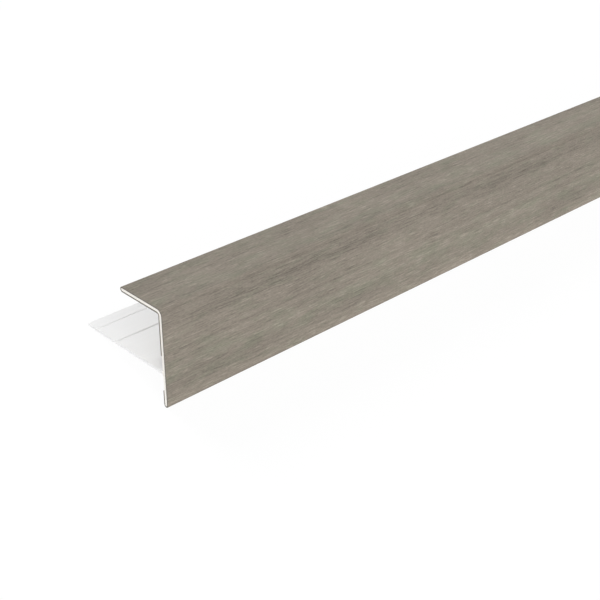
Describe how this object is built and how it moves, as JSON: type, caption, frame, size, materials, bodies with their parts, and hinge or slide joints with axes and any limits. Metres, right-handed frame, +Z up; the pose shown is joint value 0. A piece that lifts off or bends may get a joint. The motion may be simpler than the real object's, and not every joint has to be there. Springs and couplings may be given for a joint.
{
  "type": "cladding end trim",
  "caption": "F-section end trim in white PVC with a grey woodgrain film, closing the cut edge of wall cladding boards.",
  "frame": {"origin": "centre of the footprint on the floor, half way along the length", "axes": "+X along the stock, +Y from the woodgrain front face back to the fixing flange, +Z up as the trim lies unheld, on its foot and the flange's free edge"},
  "size_m": [3, 0.0624, 0.0476],
  "materials": {
    "white_pvc": "smooth satin extruded rigid PVC, duller where it is sawn",
    "woodgrain_film": "laminated film printed as weathered grey-brown wood, lightly embossed along the grain"
  },
  "bodies": {
    "root": {"pvc_profile": "white_pvc", "woodgrain_film": "woodgrain_film"}
  },
  "joints": []
}
